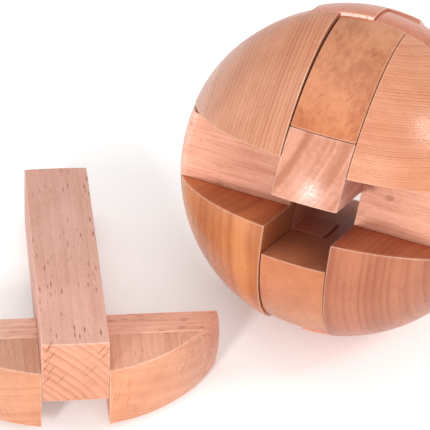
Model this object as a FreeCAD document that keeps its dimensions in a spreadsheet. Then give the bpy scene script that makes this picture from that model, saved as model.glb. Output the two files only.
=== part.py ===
import FreeCAD, Part
import math
import os

# A ball-shaped six-piece burr puzzle with its key bar drawn out and laid beside it.
# Lengths are millimetres and angles are degrees. The puzzle is laid out on a grid whose step is
# half a stick: every flat face lies on a grid plane, pulled back a little for working clearance.
# Puzzle frame: origin at the ball's centre, X across the front, Y from front to back, Z up.

doc = FreeCAD.newDocument("burr_ball")

DIMENSIONS = [
    ("half_stick", 7.0, "half the width of the square sticks, and the grid step"),
    ("ball_radius", 35.0, "radius that the six pieces are turned to"),
    ("gap", 0.05, "a stick's face stands this far inside its grid plane"),
    ("block_gap", 0.08, "a glued block's free face stands this far inside its grid plane"),
    ("easing", 0.16, "width of the chamfer that eases every edge"),
    ("corner_lean", 1.0, "lean of the upper left corner block's inner face, open at the top"),
    ("key_end_radius", 120.0, "radius of the key bar's two ends, which are flatter than the ball"),
    ("key_reach", 34.1, "how far the key bar reaches in front of the ball's centre"),
    ("key_tail", 33.1, "how far the key bar reaches behind the ball's centre"),
    ("post_rise", 0.75, "how far the loose left post stands above its home position"),
    ("ball_tilt", 27.4, "how far the ball is rolled back, so that the key slot looks upward"),
    ("key_heading", 27.1, "turn of the loose key about the vertical"),
    ("key_x", -50.5, "middle of the loose key, across"),
    ("key_y", -32.4, "middle of the loose key, front to back"),
]

sheet = doc.addObject("Spreadsheet::Sheet", "dims")
for row, (alias, value, meaning) in enumerate(DIMENSIONS, start=1):
    sheet.set(f"A{row}", alias)
    sheet.set(f"B{row}", str(value))
    sheet.set(f"C{row}", meaning)
    sheet.setAlias(f"B{row}", alias)
doc.recompute()

half_stick = sheet.half_stick
ball_radius = sheet.ball_radius
gap = sheet.gap
easing = sheet.easing

X_AXIS = FreeCAD.Vector(1, 0, 0)
Y_AXIS = FreeCAD.Vector(0, 1, 0)
Z_AXIS = FreeCAD.Vector(0, 0, 1)

# Distance from an edge at which the material beside it is looked for.
PROBE = 0.01

# Ends of a range that runs out past the ball.
LOW_OPEN = "-2 * dims.ball_radius"
HIGH_OPEN = "2 * dims.ball_radius"


def after(step):
    """Just after a grid plane: a stick's low face, or the high face of a block glued to one."""
    return f"{step} * dims.half_stick + dims.gap"


def before(step):
    """Just before a grid plane: a stick's high face, or the low face of a block glued to one."""
    return f"{step} * dims.half_stick - dims.gap"


def free_low(step):
    """A block's low face that is not glued."""
    return f"{step} * dims.half_stick + dims.block_gap"


def free_high(step):
    """A block's high face that is not glued."""
    return f"{step} * dims.half_stick - dims.block_gap"


ALL = (LOW_OPEN, HIGH_OPEN)
STICK_LOW = (after(-2), before(0))
STICK_MID = (after(-1), before(1))
STICK_HIGH = (after(0), before(2))
BLOCK_MID = (free_low(-1), free_high(1))


def grid_box(name, x_range, y_range, z_range):
    """A box between two planes each way."""
    box = doc.addObject("Part::Box", name)
    sides = (("Length", "x", x_range), ("Width", "y", y_range), ("Height", "z", z_range))
    for length, axis, (low, high) in sides:
        box.setExpression(length, f"({high}) - ({low})")
        box.setExpression(f"Placement.Base.{axis}", low)
    return box


def cut(name, base, tool):
    """The base with the tool's space taken away."""
    result = doc.addObject("Part::Cut", name)
    result.Base = base
    result.Tool = tool
    return result


ball = doc.addObject("Part::Sphere", "ball")
ball.setExpression("Radius", "dims.ball_radius")


def turned(name, blank):
    """A blank turned to the ball's surface."""
    result = doc.addObject("Part::Common", name)
    result.Base = blank
    result.Tool = ball
    return result


def normal_at(face, point):
    """The face's outward normal at a point on it."""
    across, along = face.Surface.parameter(point)
    return face.normalAt(across, along)


def is_outer(shape, edge):
    """True for an edge that sticks out, and false for the inner corner of a notch."""
    middle = edge.valueAt((edge.FirstParameter + edge.LastParameter) / 2)
    first, second = shape.ancestorsOfType(edge, Part.Face)
    sideways = normal_at(first, middle) - normal_at(second, middle)
    return not shape.isInside(middle + sideways * PROBE, PROBE / 100, False)


def eased(name, solid):
    """The solid with its outer edges chamfered, as its own sub-part."""
    doc.recompute()
    shape = solid.Shape
    outer = [number for number, edge in enumerate(shape.Edges, start=1) if is_outer(shape, edge)]
    result = doc.addObject("Part::Chamfer", name)
    result.Base = solid
    result.Edges = [(number, easing, easing) for number in outer]
    result.Label = name
    return result


def stick(name, x_range, y_range, z_range, notches=()):
    """A square stick, turned at its ends and notched where the others cross it."""
    solid = turned(f"{name}_turned", grid_box(f"{name}_blank", x_range, y_range, z_range))
    for number, notch in enumerate(notches, start=1):
        tool = grid_box(f"{name}_notch_{number}", *notch)
        solid = cut(f"{name}_cut_{number}", solid, tool)
    return eased(name, solid)


def block(name, x_range, y_range, z_range, tool=None):
    """A block glued to a stick, turned to the ball's surface and trimmed by the tool, if any."""
    solid = turned(f"{name}_turned", grid_box(f"{name}_blank", x_range, y_range, z_range))
    if tool:
        solid = cut(f"{name}_trimmed", solid, tool)
    return eased(name, solid)


def lapping_block(name, x_range, y_range, z_range, relief):
    """A block glued to one stick and relieved where it laps past another, so that it slides free."""
    whole = block(f"{name}_whole", x_range, y_range, z_range)
    result = cut(name, whole, grid_box(f"{name}_relief", *relief))
    result.Label = name
    return result


# The two posts' space and the key's space, cut out of the sticks that they cross.
ACROSS_POSTS = (before(-2), after(2))
ACROSS_KEY = (before(-1), after(1))

bodies = {}

# The front and rear bars lie left to right and are notched for the posts and the key.
bodies["front_bar"] = [
    stick("front_bar", ALL, STICK_LOW, STICK_MID, [
        (ACROSS_POSTS, (before(-1), HIGH_OPEN), ALL),
        (ACROSS_KEY, ALL, (LOW_OPEN, after(0)))]),
]
bodies["rear_bar"] = [
    stick("rear_bar", ALL, STICK_HIGH, STICK_MID, [
        (ACROSS_POSTS, (LOW_OPEN, after(1)), ALL),
        (ACROSS_KEY, ALL, (LOW_OPEN, after(0)))]),
]

# The upper bar runs front to back over the key and is notched for the two bars that it crosses.
bodies["upper_bar"] = [
    stick("upper_bar", STICK_MID, ALL, STICK_HIGH, [
        (ALL, (before(-2), after(-1)), (LOW_OPEN, after(1))),
        (ALL, (before(1), after(2)), (LOW_OPEN, after(1)))]),
]

# The posts stand side by side and are notched for the upper bar and the key.
BETWEEN_ENDS = (before(-2), after(2))
bodies["left_post"] = [
    stick("left_post", STICK_LOW, STICK_MID, ALL, [((before(-1), HIGH_OPEN), ALL, BETWEEN_ENDS)]),
]
bodies["right_post"] = [
    stick("right_post", STICK_HIGH, STICK_MID, ALL, [((LOW_OPEN, after(1)), ALL, BETWEEN_ENDS)]),
]

# The key bar has no notch. Its two ends are turned flatter than the ball.
key_bar = grid_box("key_bar_blank", STICK_MID, ALL, STICK_LOW)
for end, centre in (
        ("front", "dims.key_end_radius - dims.key_reach"),
        ("rear", "dims.key_tail - dims.key_end_radius")):
    form = doc.addObject("Part::Sphere", f"key_{end}_form")
    form.setExpression("Radius", "dims.key_end_radius")
    form.setExpression("Placement.Base.y", centre)
    shaped = doc.addObject("Part::Common", f"key_bar_{end}_shaped")
    shaped.Base = key_bar
    shaped.Tool = form
    key_bar = shaped
bodies["key"] = [eased("key_bar", key_bar)]

# Left and right blocks, the same but for their side.
SIDES = {
    "left": {
        "corner": (LOW_OPEN, free_high(-1)),
        "beside_stick": (LOW_OPEN, after(-1)),
        "relief": (before(-1), HIGH_OPEN),
        "wing": (LOW_OPEN, free_high(-2)),
    },
    "right": {
        "corner": (free_low(1), HIGH_OPEN),
        "beside_stick": (before(1), HIGH_OPEN),
        "relief": (LOW_OPEN, after(1)),
        "wing": (free_low(2), HIGH_OPEN),
    },
}
FRONT_CORNER = (LOW_OPEN, free_high(-1))
REAR_CORNER = (free_low(1), HIGH_OPEN)
UNDER_BAR = (LOW_OPEN, after(-1))
OVER_BAR = (before(1), HIGH_OPEN)
BEFORE_POST = (LOW_OPEN, after(-1))
BEHIND_POST = (before(1), HIGH_OPEN)
ABOVE_KEY_BAR = (before(0), HIGH_OPEN)
BELOW_UPPER_BAR = (LOW_OPEN, after(0))

# Each key wing is laminated: a strip across the grain at the back, and a block in front.
KEY_LAYERS = {
    "strip": ("-3 * dims.half_stick", free_high(-2)),
    "block": (LOW_OPEN, "-3 * dims.half_stick"),
}

# The upper left corner block's inner face leans outward from its foot, so the seam opens upward.
lean_tool = grid_box("lean_tool", (free_high(-1), HIGH_OPEN), ALL, (free_low(1), HIGH_OPEN))
lean_tool.Placement.Rotation = FreeCAD.Rotation(Y_AXIS, -1)
lean_tool.setExpression("Placement.Rotation.Angle", "-dims.corner_lean")
TRIM = {"left": lean_tool, "right": None}

for side, across in SIDES.items():
    bodies["front_bar"] += [
        block(f"front_bar_{side}_corner", across["corner"], FRONT_CORNER, UNDER_BAR),
        block(f"front_bar_{side}_wing", across["wing"], BLOCK_MID, UNDER_BAR),
    ]
    bodies["rear_bar"] += [
        block(f"rear_bar_{side}_corner", across["corner"], REAR_CORNER, UNDER_BAR),
        block(f"rear_bar_{side}_wing", across["wing"], BLOCK_MID, OVER_BAR),
    ]
    bodies["upper_bar"] += [
        block(f"upper_bar_{side}_corner", across["beside_stick"], REAR_CORNER, (free_low(1), HIGH_OPEN)),
        lapping_block(
            f"upper_bar_{side}_wing", across["beside_stick"], (free_low(2), HIGH_OPEN), BLOCK_MID,
            (across["relief"], ALL, BELOW_UPPER_BAR)),
    ]
    bodies[f"{side}_post"] += [
        block(f"{side}_post_corner", across["corner"], BEFORE_POST, (free_low(1), HIGH_OPEN), TRIM[side]),
    ]
    bodies["key"] += [
        lapping_block(
            f"key_{side}_{layer}", across["beside_stick"], depth, BLOCK_MID,
            (across["relief"], ALL, ABOVE_KEY_BAR))
        for layer, depth in KEY_LAYERS.items()
    ]

# The posts' wings cap the ball's top and bottom. Each post has one in front and one behind, and the
# two posts' wings are crossed. A wing laps half over the other post, past a thin relief.
BEFORE_RELIEF = ("-1 * dims.half_stick", HIGH_OPEN)
BEHIND_RELIEF = (LOW_OPEN, "1 * dims.half_stick")
TOP = (free_low(2), HIGH_OPEN)
BOTTOM = (LOW_OPEN, free_high(-2))
for side, end, depth, height, relief_depth, other_post in (
        ("left", "top", BEHIND_POST, TOP, BEHIND_RELIEF, (before(0), HIGH_OPEN)),
        ("left", "bottom", BEFORE_POST, BOTTOM, BEFORE_RELIEF, (before(0), HIGH_OPEN)),
        ("right", "top", BEFORE_POST, TOP, BEFORE_RELIEF, (LOW_OPEN, after(0))),
        ("right", "bottom", BEHIND_POST, BOTTOM, BEHIND_RELIEF, (LOW_OPEN, after(0)))):
    relief = (other_post, relief_depth, ALL)
    bodies[f"{side}_post"] += [
        lapping_block(f"{side}_post_{end}_wing", BLOCK_MID, depth, height, relief),
    ]

doc.recompute()

# Home of the ball: rolled back about X, with its lowest point on the ground under its centre.
ball_turn = FreeCAD.Rotation(X_AXIS, -sheet.ball_tilt)
ball_place = FreeCAD.Placement(FreeCAD.Vector(0, 0, ball_radius), ball_turn)
post_shift = FreeCAD.Placement(FreeCAD.Vector(0, 0, sheet.post_rise), FreeCAD.Rotation())

# The key lies turned over, on the lower back edges of its wings and the far end of its bar.
rise = half_stick
run = sheet.key_tail + 2 * half_stick
key_pitch = math.atan2(rise, run)
key_height = sheet.key_tail * math.sin(key_pitch) - gap * math.cos(key_pitch)
key_turn = (FreeCAD.Rotation(Z_AXIS, sheet.key_heading)
            .multiply(FreeCAD.Rotation(X_AXIS, -math.degrees(key_pitch)))
            .multiply(FreeCAD.Rotation(Y_AXIS, 180)))
key_place = FreeCAD.Placement(FreeCAD.Vector(sheet.key_x, sheet.key_y, key_height), key_turn)

for body, parts in bodies.items():
    place = ball_place
    if body == "key":
        place = key_place
    if body == "left_post":
        place = ball_place.multiply(post_shift)
    for part in parts:
        part.Placement = place
doc.recompute()

for item in doc.Objects:
    if "Invalid" in item.State or "Error" in item.State:
        raise RuntimeError(f"{item.Name} failed: {item.State}")

os.makedirs("parts", exist_ok=True)
for parts in bodies.values():
    for part in parts:
        shape = part.Shape
        if shape.isNull() or not shape.isValid():
            raise RuntimeError(f"{part.Label} has no valid shape")
        shape.exportStep(f"parts/{part.Label}.step")
        print(f"{part.Label}: {shape.Volume:.1f} mm3, {len(shape.Solids)} solid, {len(shape.Faces)} faces")
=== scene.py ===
import math

import bpy
from mathutils import Matrix, Vector

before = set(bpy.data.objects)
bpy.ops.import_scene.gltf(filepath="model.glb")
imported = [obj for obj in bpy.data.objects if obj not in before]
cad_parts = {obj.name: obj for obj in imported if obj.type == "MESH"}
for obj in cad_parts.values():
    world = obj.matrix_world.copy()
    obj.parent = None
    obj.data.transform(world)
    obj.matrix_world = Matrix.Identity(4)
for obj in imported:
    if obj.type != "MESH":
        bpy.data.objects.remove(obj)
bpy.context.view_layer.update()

# ---------------------------------------------------------------- the puzzle's own frames
# The wood's grain is worked out in each burr piece's own frame, in millimetres: X across the front,
# Y from front to back, Z up, with the ball's centre at the origin.
MM = 0.001
HALF_STICK = 7.0
BALL_RADIUS = 35.0
BALL_TILT = 27.4
KEY_HEADING = 27.1
KEY_TAIL = 33.1
KEY_PITCH = math.degrees(math.atan2(HALF_STICK, KEY_TAIL + 2 * HALF_STICK))
KEY_PLACE = Vector((-50.5, -32.4, KEY_TAIL * math.sin(math.radians(KEY_PITCH)))) * MM


def turn(axis, degrees):
    """A turn about one axis."""
    return Matrix.Rotation(math.radians(degrees), 4, axis)


BALL_FRAME = Matrix.Translation((0, 0, BALL_RADIUS * MM)) @ turn("X", -BALL_TILT)
KEY_FRAME = Matrix.Translation(KEY_PLACE) @ turn("Z", KEY_HEADING) @ turn("X", -KEY_PITCH) @ turn("Y", 180)

# ---------------------------------------------------------------- camera
CAMERA_AZIMUTH = 18.2
CAMERA_ELEVATION = 42.4
CAMERA_ROLL = 3.9
CAMERA_DISTANCE = 0.5398
FOCAL_LENGTH = 209.3
SENSOR = 36.0
AIM = Vector((-0.02526, -0.00960, 0.0210))


def add_camera():
    """A long lens at the viewing angle, aimed between the key and the ball."""
    azimuth = math.radians(CAMERA_AZIMUTH)
    elevation = math.radians(CAMERA_ELEVATION)
    back = Vector((
        math.sin(azimuth) * math.cos(elevation),
        -math.cos(azimuth) * math.cos(elevation),
        math.sin(elevation)))
    data = bpy.data.cameras.new("camera")
    data.lens = FOCAL_LENGTH
    data.sensor_width = SENSOR
    camera = bpy.data.objects.new("camera", data)
    facing = back.to_track_quat("Z", "Y").to_matrix().to_4x4()
    camera.matrix_world = Matrix.Translation(AIM + back * CAMERA_DISTANCE) @ facing @ turn("Z", CAMERA_ROLL)
    bpy.context.scene.collection.objects.link(camera)
    bpy.context.scene.camera = camera


add_camera()

# ---------------------------------------------------------------- floor and light
bpy.context.scene.view_settings.view_transform = "Standard"

FLOOR_COLOUR = (0.90, 0.90, 0.90, 1.0)
FLOOR_ROUGHNESS = 0.9
FLOOR_GLOW = 0.17
FLOOR_HALF_WIDTH = 3.0
SURROUND_STRENGTH = 0.62
LIT_POINT = Vector((-0.02, -0.01, 0.03))


def add_floor():
    """A plain pale floor, lit a little from below as on a light table, which keeps shadows faint."""
    half = FLOOR_HALF_WIDTH
    corners = [(-half, -half, 0), (half, -half, 0), (half, half, 0), (-half, half, 0)]
    mesh = bpy.data.meshes.new("floor")
    mesh.from_pydata(corners, [], [(0, 1, 2, 3)])
    floor = bpy.data.objects.new("floor", mesh)
    bpy.context.scene.collection.objects.link(floor)
    material = bpy.data.materials.new("floor")
    material.use_nodes = True
    shader = material.node_tree.nodes["Principled BSDF"]
    shader.inputs["Base Color"].default_value = FLOOR_COLOUR
    shader.inputs["Roughness"].default_value = FLOOR_ROUGHNESS
    shader.inputs["Emission Color"].default_value = FLOOR_COLOUR
    shader.inputs["Emission Strength"].default_value = FLOOR_GLOW
    mesh.materials.append(material)


def add_light(name, direction, distance, size, power):
    """A soft square panel that faces the puzzle from a direction."""
    data = bpy.data.lights.new(name, "AREA")
    data.size = size
    data.energy = power
    light = bpy.data.objects.new(name, data)
    outward = Vector(direction).normalized()
    facing = outward.to_track_quat("Z", "Y").to_matrix().to_4x4()
    light.matrix_world = Matrix.Translation(LIT_POINT + outward * distance) @ facing
    bpy.context.scene.collection.objects.link(light)


def add_world(strength):
    """An even white surround."""
    world = bpy.data.worlds.new("surround")
    world.use_nodes = True
    background = world.node_tree.nodes["Background"]
    background.inputs["Color"].default_value = (1.0, 1.0, 1.0, 1.0)
    background.inputs["Strength"].default_value = strength
    bpy.context.scene.world = world


add_floor()
add_world(SURROUND_STRENGTH)
add_light("top_light", (-0.15, 0.10, 1.0), 1.0, 0.9, 2.6)
add_light("main_light", (0.45, -0.62, 0.70), 0.9, 0.5, 1.6)
add_light("front_light", (-0.11, -0.90, 0.36), 0.8, 0.10, 3.2)
add_light("right_light", (0.74, 0.18, 0.64), 0.8, 0.20, 1.5)

# ---------------------------------------------------------------- wood


class Tree:
    """Builds one node tree, one formula at a time."""

    def __init__(self, tree):
        self.tree = tree

    def node(self, kind, inputs=None, **settings):
        made = self.tree.nodes.new(kind)
        for name, value in settings.items():
            setattr(made, name, value)
        for socket, value in (inputs or {}).items():
            self.put(made.inputs[socket], value)
        return made

    def put(self, socket, value):
        if isinstance(value, bpy.types.NodeSocket):
            self.tree.links.new(value, socket)
        else:
            socket.default_value = value

    def math(self, operation, a, b=0.0, c=0.0, clamp=False):
        made = self.node("ShaderNodeMath", {0: a, 1: b, 2: c}, operation=operation, use_clamp=clamp)
        return made.outputs[0]

    def times(self, value, factor):
        return self.math("MULTIPLY", value, factor)

    def split(self, vector):
        return self.node("ShaderNodeSeparateXYZ", {0: vector}).outputs

    def join(self, x, y, z):
        return self.node("ShaderNodeCombineXYZ", {0: x, 1: y, 2: z}).outputs[0]

    def noise(self, vector, detail=2.0, roughness=0.5):
        made = self.node("ShaderNodeTexNoise", {
            "Vector": vector, "Scale": 1.0, "Detail": detail, "Roughness": roughness})
        return made.outputs["Fac"]

    def cells(self, vector):
        """Distance to the nearest of a scatter of points, one to a unit cube."""
        return self.node("ShaderNodeTexVoronoi", {"Vector": vector, "Scale": 1.0}).outputs["Distance"]

    def spread(self, value, low, high, to_low=0.0, to_high=1.0):
        """Maps low..high to to_low..to_high, held at the ends."""
        made = self.node("ShaderNodeMapRange", {
            "Value": value, "From Min": low, "From Max": high, "To Min": to_low, "To Max": to_high})
        return made.outputs["Result"]

    def mix(self, amount, first, second, blend="MIX"):
        made = self.node("ShaderNodeMix", data_type="RGBA", blend_type=blend)
        self.put(made.inputs["Factor"], amount)
        self.put(made.inputs[6], first)
        self.put(made.inputs[7], second)
        return made.outputs[2]


def shade(tint, factors):
    """A linear colour: a tint in sRGB levels out of 255, times a factor for red, green and blue."""
    levels = [(level / 255) ** 2.2 * factor for level, factor in zip(tint, factors)]
    return (*levels, 1.0)


# Which of a piece's axes lie across the grain, and which lies along it.
AXES = {"X": (1, 2, 0), "Y": (2, 0, 1), "Z": (0, 1, 2)}

# A piece's early wood, late wood, and rays and pores, against its tint.
EARLY_WOOD = (1.12, 1.20, 1.26)
LATE_WOOD = (0.78, 0.66, 0.58)
DEEP_WOOD = (0.40, 0.26, 0.20)

END_GRAIN = (0.98, 0.82, 0.66, 1.0)
# Pale edge colour and its width: partly wear, partly a painted highlight on the rounded edges.
EDGE_WEAR_AND_HIGHLIGHT = (0.92, 0.66, 0.50, 1.0)
WEAR_AND_HIGHLIGHT_WIDTH = 0.30 * MM

# Roughness of the turned surface and of the inside, and how much duller the pores are.
POLISHED = 0.27
MATT = 0.62
PORE_DULLNESS = 0.12

# How far under the ball's surface, in mm, the polish starts and is full.
POLISH_STARTS = 1.2
POLISH_FULL = 0.6

# How dark the wood is with no feature on it, how strongly the pores and the pale edges (partly wear,
# partly a painted highlight) show, and the lacquer's refractive index.
BASE_DEPTH = 0.30
PORE_STRENGTH = 0.22
WEAR_AND_HIGHLIGHT_STRENGTH = 0.45
LACQUER_IOR = 1.48

# How strongly each feature of the wood shows, and the ring width in millimetres. lines: the dark
# line that ends each year; side_lines: how much of it is left on the long faces; bands: change from
# year to year; wave: the rings' wander in mm; rays: dark flecks on the long faces and fine lines on
# the ends; fibre: fine streaks; blotch: soft patches.
LINED = {
    "ring": 0.85, "lines": 1.05, "side_lines": 1.0, "bands": 0.70, "wave": 0.35,
    "rays": 0.12, "fibre": 0.22, "blotch": 0.50}
FINE = {**LINED, "ring": 0.45, "lines": 1.00, "wave": 0.30}
FINE_FLECKED = {**FINE, "rays": 0.50, "lines": 0.50}
BROAD = {**LINED, "ring": 2.3, "lines": 0.55, "bands": 2.60, "wave": 0.6, "fibre": 0.35, "blotch": 0.40}
BANDED = {**BROAD, "ring": 1.15, "lines": 0.50, "bands": 3.00, "wave": 0.4, "fibre": 0.50, "rays": 0.30}
NARROW = {**BROAD, "ring": 1.4, "lines": 0.80, "bands": 1.80}
FLECKED = {**LINED, "ring": 2.2, "lines": 0.25, "bands": 0.35, "wave": 1.2, "rays": 0.75, "fibre": 0.35}
SMOOTH = {**LINED, "ring": 3.2, "lines": 0.12, "bands": 0.50, "wave": 2.2, "rays": 0.30, "blotch": 0.90}
MOTTLED = {**SMOOTH, "bands": 1.40, "rays": 0.35, "fibre": 0.75, "blotch": 1.30}
CRISP = {
    "ring": 1.55, "lines": 0.90, "side_lines": 0.30, "bands": 0.22, "wave": 0.5,
    "rays": 0.85, "fibre": 0.24, "blotch": 0.30}
STREAKY = {**LINED, "ring": 1.1, "lines": 0.55, "bands": 0.55, "wave": 0.8, "rays": 0.55, "fibre": 0.60}


def beech(name, body_frame, grain, pith, tint, seed, look):
    """Solid beech: rings about a pith line that runs along the grain axis, rays, fibre and lacquer."""
    pale = shade(tint, EARLY_WOOD)
    dark = shade(tint, LATE_WOOD)
    deep = shade(tint, DEEP_WOOD)
    material = bpy.data.materials.new(name)
    material.use_nodes = True
    tree = Tree(material.node_tree)
    shader = material.node_tree.nodes["Principled BSDF"]

    # Millimetres in the burr piece's own frame, measured from the pith.
    place, rotation, _ = body_frame.decompose()
    local = tree.node("ShaderNodeMapping", {
        "Vector": tree.node("ShaderNodeTexCoord").outputs["Object"],
        "Location": place, "Rotation": rotation.to_euler(), "Scale": (MM, MM, MM)},
        vector_type="TEXTURE").outputs["Vector"]
    axes = tree.split(local)
    first, second, along = (axes[index] for index in AXES[grain])
    across_u = tree.math("SUBTRACT", first, pith[0])
    across_v = tree.math("SUBTRACT", second, pith[1])
    radius = tree.math("SQRT", tree.math(
        "ADD", tree.math("MULTIPLY", across_u, across_u), tree.math("MULTIPLY", across_v, across_v)))
    around = tree.times(tree.math("ARCTAN2", across_v, across_u), math.hypot(*pith))

    # In the fields below, a factor on a place is the number of noise cells to a millimetre.

    # Growth rings: they wander slowly, and each year ends in a darker line.
    wander = tree.noise(tree.join(
        tree.math("MULTIPLY_ADD", across_u, 0.09, seed), tree.times(across_v, 0.09),
        tree.times(along, 0.035)), 2.0, 0.5)
    ring_at = tree.math("MULTIPLY_ADD", tree.math("SUBTRACT", wander, 0.5), 2 * look["wave"], radius)
    years = tree.times(ring_at, 1 / look["ring"])
    uneven = tree.noise(tree.join(tree.times(years, 0.5), seed, 0.0), 1.0)
    years = tree.math("MULTIPLY_ADD", uneven, 1.3, years)
    line = tree.math("POWER", tree.math("FRACT", years), 3.0)
    line_at = tree.join(
        tree.times(years, 0.37), tree.times(around, 0.05), tree.math("MULTIPLY_ADD", along, 0.03, seed))
    line_strength = tree.spread(tree.noise(line_at, 1.0), 0.35, 0.65, 0.35, 1.0)
    band = tree.noise(tree.join(tree.times(years, 0.31), seed + 3.0, 0.0), 2.0, 0.6)

    # Rays: thin upright sheets that reach out from the pith.
    ray_at = tree.join(
        tree.math("MULTIPLY_ADD", around, 1.9, seed), tree.times(radius, 0.15), tree.times(along, 0.21))
    ray = tree.spread(tree.cells(ray_at), 0.14, 0.26, 1.0, 0.0)
    patchy = tree.spread(tree.noise(tree.join(
        tree.math("MULTIPLY_ADD", across_u, 0.12, seed), tree.times(across_v, 0.12),
        tree.times(along, 0.05)), 1.0), 0.35, 0.6, 0.35, 1.0)
    ray = tree.math("MULTIPLY", ray, patchy)

    # Fibre along the grain, fine and coarse, the pores' dark specks, and soft patches.
    fibre = tree.noise(tree.join(
        tree.math("MULTIPLY_ADD", across_u, 4.2, seed), tree.times(across_v, 4.2),
        tree.times(along, 0.22)), 3.0, 0.65)
    streak = tree.noise(tree.join(
        tree.math("MULTIPLY_ADD", across_u, 0.9, seed), tree.times(across_v, 0.9),
        tree.times(along, 0.05)), 2.0)
    pore = tree.spread(tree.cells(tree.join(
        tree.math("MULTIPLY_ADD", across_u, 4.6, seed), tree.times(across_v, 4.6),
        tree.times(along, 0.55))), 0.16, 0.34, 1.0, 0.0)
    blotch = tree.noise(tree.join(
        tree.math("MULTIPLY_ADD", across_u, 0.11, seed), tree.times(across_v, 0.11),
        tree.times(along, 0.07)), 2.0)

    # How squarely the surface cuts the grain: 0 on the long faces, 1 on the ends.
    true_normal = tree.node("ShaderNodeNewGeometry").outputs["True Normal"]
    grain_direction = body_frame.to_3x3() @ Vector([float(axis == grain) for axis in "XYZ"])
    facing = tree.node("ShaderNodeVectorMath", {0: true_normal, 1: grain_direction}, operation="DOT_PRODUCT")
    end_grain = tree.spread(tree.math("ABSOLUTE", facing.outputs["Value"]), 0.55, 0.95)

    # How dark the wood is, from 0 for the pale early wood to 1 for the late wood.
    line = tree.math("MULTIPLY", line, tree.spread(end_grain, 0.0, 1.0, look["side_lines"], 1.0))
    depth = tree.times(tree.math("MULTIPLY", line, line_strength), look["lines"])
    for field, strength in ((band, look["bands"]), (blotch, look["blotch"]),
                            (streak, look["fibre"]), (fibre, look["fibre"])):
        depth = tree.math("MULTIPLY_ADD", tree.math("SUBTRACT", field, 0.5), 2.0 * strength, depth)
    depth = tree.math("ADD", depth, BASE_DEPTH, clamp=True)
    colour = tree.mix(depth, pale, dark)
    colour = tree.mix(tree.times(ray, look["rays"]), colour, deep)
    colour = tree.mix(tree.times(pore, PORE_STRENGTH), colour, deep)

    # End grain soaks up more finish and goes deeper in colour.
    colour = tree.mix(end_grain, colour, END_GRAIN, blend="MULTIPLY")

    # Edges painted pale, partly as wear and partly as a painted highlight where light would catch the
    # rounded edge: where a rounded-over normal turns away from the face's own.
    rounded = tree.node("ShaderNodeBevel", {"Radius": WEAR_AND_HIGHLIGHT_WIDTH}, samples=4).outputs["Normal"]
    bend = tree.node("ShaderNodeVectorMath", {0: rounded, 1: true_normal}, operation="DOT_PRODUCT")
    worn_and_lit = tree.spread(bend.outputs["Value"], 0.90, 0.998, WEAR_AND_HIGHLIGHT_STRENGTH, 0.0)
    colour = tree.mix(worn_and_lit, colour, EDGE_WEAR_AND_HIGHLIGHT)
    tree.put(shader.inputs["Base Color"], colour)

    # Polished where the ball was turned and nearly matt inside, duller over the pores, with the
    # grain just felt through the finish.
    reach = tree.node("ShaderNodeVectorMath", {0: local}, operation="LENGTH").outputs["Value"]
    polish = tree.spread(reach, BALL_RADIUS - POLISH_STARTS, BALL_RADIUS - POLISH_FULL, MATT, POLISHED)
    rough = tree.math("MULTIPLY_ADD", tree.math("SUBTRACT", fibre, 0.5), 0.16, polish)
    tree.put(shader.inputs["Roughness"], tree.math("MULTIPLY_ADD", pore, PORE_DULLNESS, rough))
    shader.inputs["IOR"].default_value = LACQUER_IOR
    height = tree.math("MULTIPLY_ADD", pore, -0.8, tree.times(fibre, 0.7))
    bump = tree.node("ShaderNodeBump", {"Height": height, "Strength": 0.35, "Distance": 0.05 * MM})
    tree.put(shader.inputs["Normal"], bump.outputs["Normal"])
    return material


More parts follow.
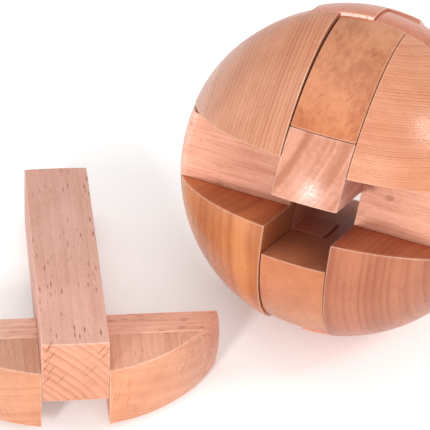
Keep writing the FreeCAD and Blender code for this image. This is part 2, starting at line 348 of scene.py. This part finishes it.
# Each piece's wood: grain axis, pith in mm across the grain, tint in sRGB levels, and look.
# A pith far off gives nearly straight lines.
WOOD = {
    "front_bar": ("X", (-6.0, 60.0), (227, 163, 136), STREAKY),
    "rear_bar": ("X", (-30.0, 60.0), (214, 152, 126), STREAKY),
    "upper_bar": ("Y", (19.0, -34.0), (198, 146, 130), BANDED),
    "left_post": ("Z", (32.0, -34.0), (200, 124, 96), FLECKED),
    "right_post": ("Z", (-26.0, 42.0), (200, 124, 96), FLECKED),
    "key_bar": ("Y", (26.0, 30.0), (210, 158, 140), CRISP),
    "front_bar_left_corner": ("Z", (-140.0, -10.0), (191, 119, 76), BROAD),
    "front_bar_right_corner": ("Z", (140.0, -30.0), (169, 100, 70), NARROW),
    "front_bar_left_wing": ("Y", (190.0, -12.0), (208, 142, 112), LINED),
    "front_bar_right_wing": ("Y", (-190.0, 12.0), (204, 140, 112), LINED),
    "rear_bar_left_corner": ("Z", (-160.0, 20.0), (206, 134, 96), BROAD),
    "rear_bar_right_corner": ("Z", (150.0, 30.0), (196, 126, 92), NARROW),
    "rear_bar_left_wing": ("Y", (180.0, 20.0), (200, 130, 94), LINED),
    "rear_bar_right_wing": ("Y", (-36.0, -160.0), (206, 140, 108), LINED),
    "upper_bar_left_corner": ("X", (24.0, 160.0), (212, 146, 116), LINED),
    "upper_bar_right_corner": ("Z", (-170.0, 40.0), (220, 156, 126), LINED),
    "upper_bar_left_wing": ("Z", (24.0, 150.0), (208, 142, 112), FINE),
    "upper_bar_right_wing": ("Z", (-24.0, 150.0), (208, 142, 112), NARROW),
    "left_post_corner": ("Z", (-200.0, -30.0), (196, 135, 106), LINED),
    "left_post_top_wing": ("X", (40.0, -130.0), (230, 172, 150), LINED),
    "left_post_bottom_wing": ("Y", (-40.0, -30.0), (182, 114, 78), SMOOTH),
    "right_post_corner": ("X", (0.0, -200.0), (204, 136, 103), FINE),
    "right_post_top_wing": ("Y", (0.0, -14.0), (191, 124, 88), MOTTLED),
    "right_post_bottom_wing": ("Y", (-40.0, 26.0), (204, 132, 96), SMOOTH),
    "key_left_strip": ("X", (22.0, 34.0), (220, 159, 134), STREAKY),
    "key_right_strip": ("X", (26.0, 34.0), (218, 166, 144), STREAKY),
    "key_left_block": ("Y", (195.0, 30.0), (211, 153, 126), FINE_FLECKED),
    "key_right_block": ("Y", (195.0, -40.0), (201, 148, 122), FINE_FLECKED),
}


def dress(number, node, grain, pith, tint, look):
    """Gives a piece of wood its own material; its number sets where its figure starts."""
    body_frame = KEY_FRAME if node.startswith("key_") else BALL_FRAME
    material = beech(f"beech_{node}", body_frame, grain, pith, tint, 7.3 * number, look)
    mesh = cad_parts[node].data
    mesh.materials.clear()
    mesh.materials.append(material)


for number, (node, wood) in enumerate(WOOD.items()):
    dress(number, node, *wood)
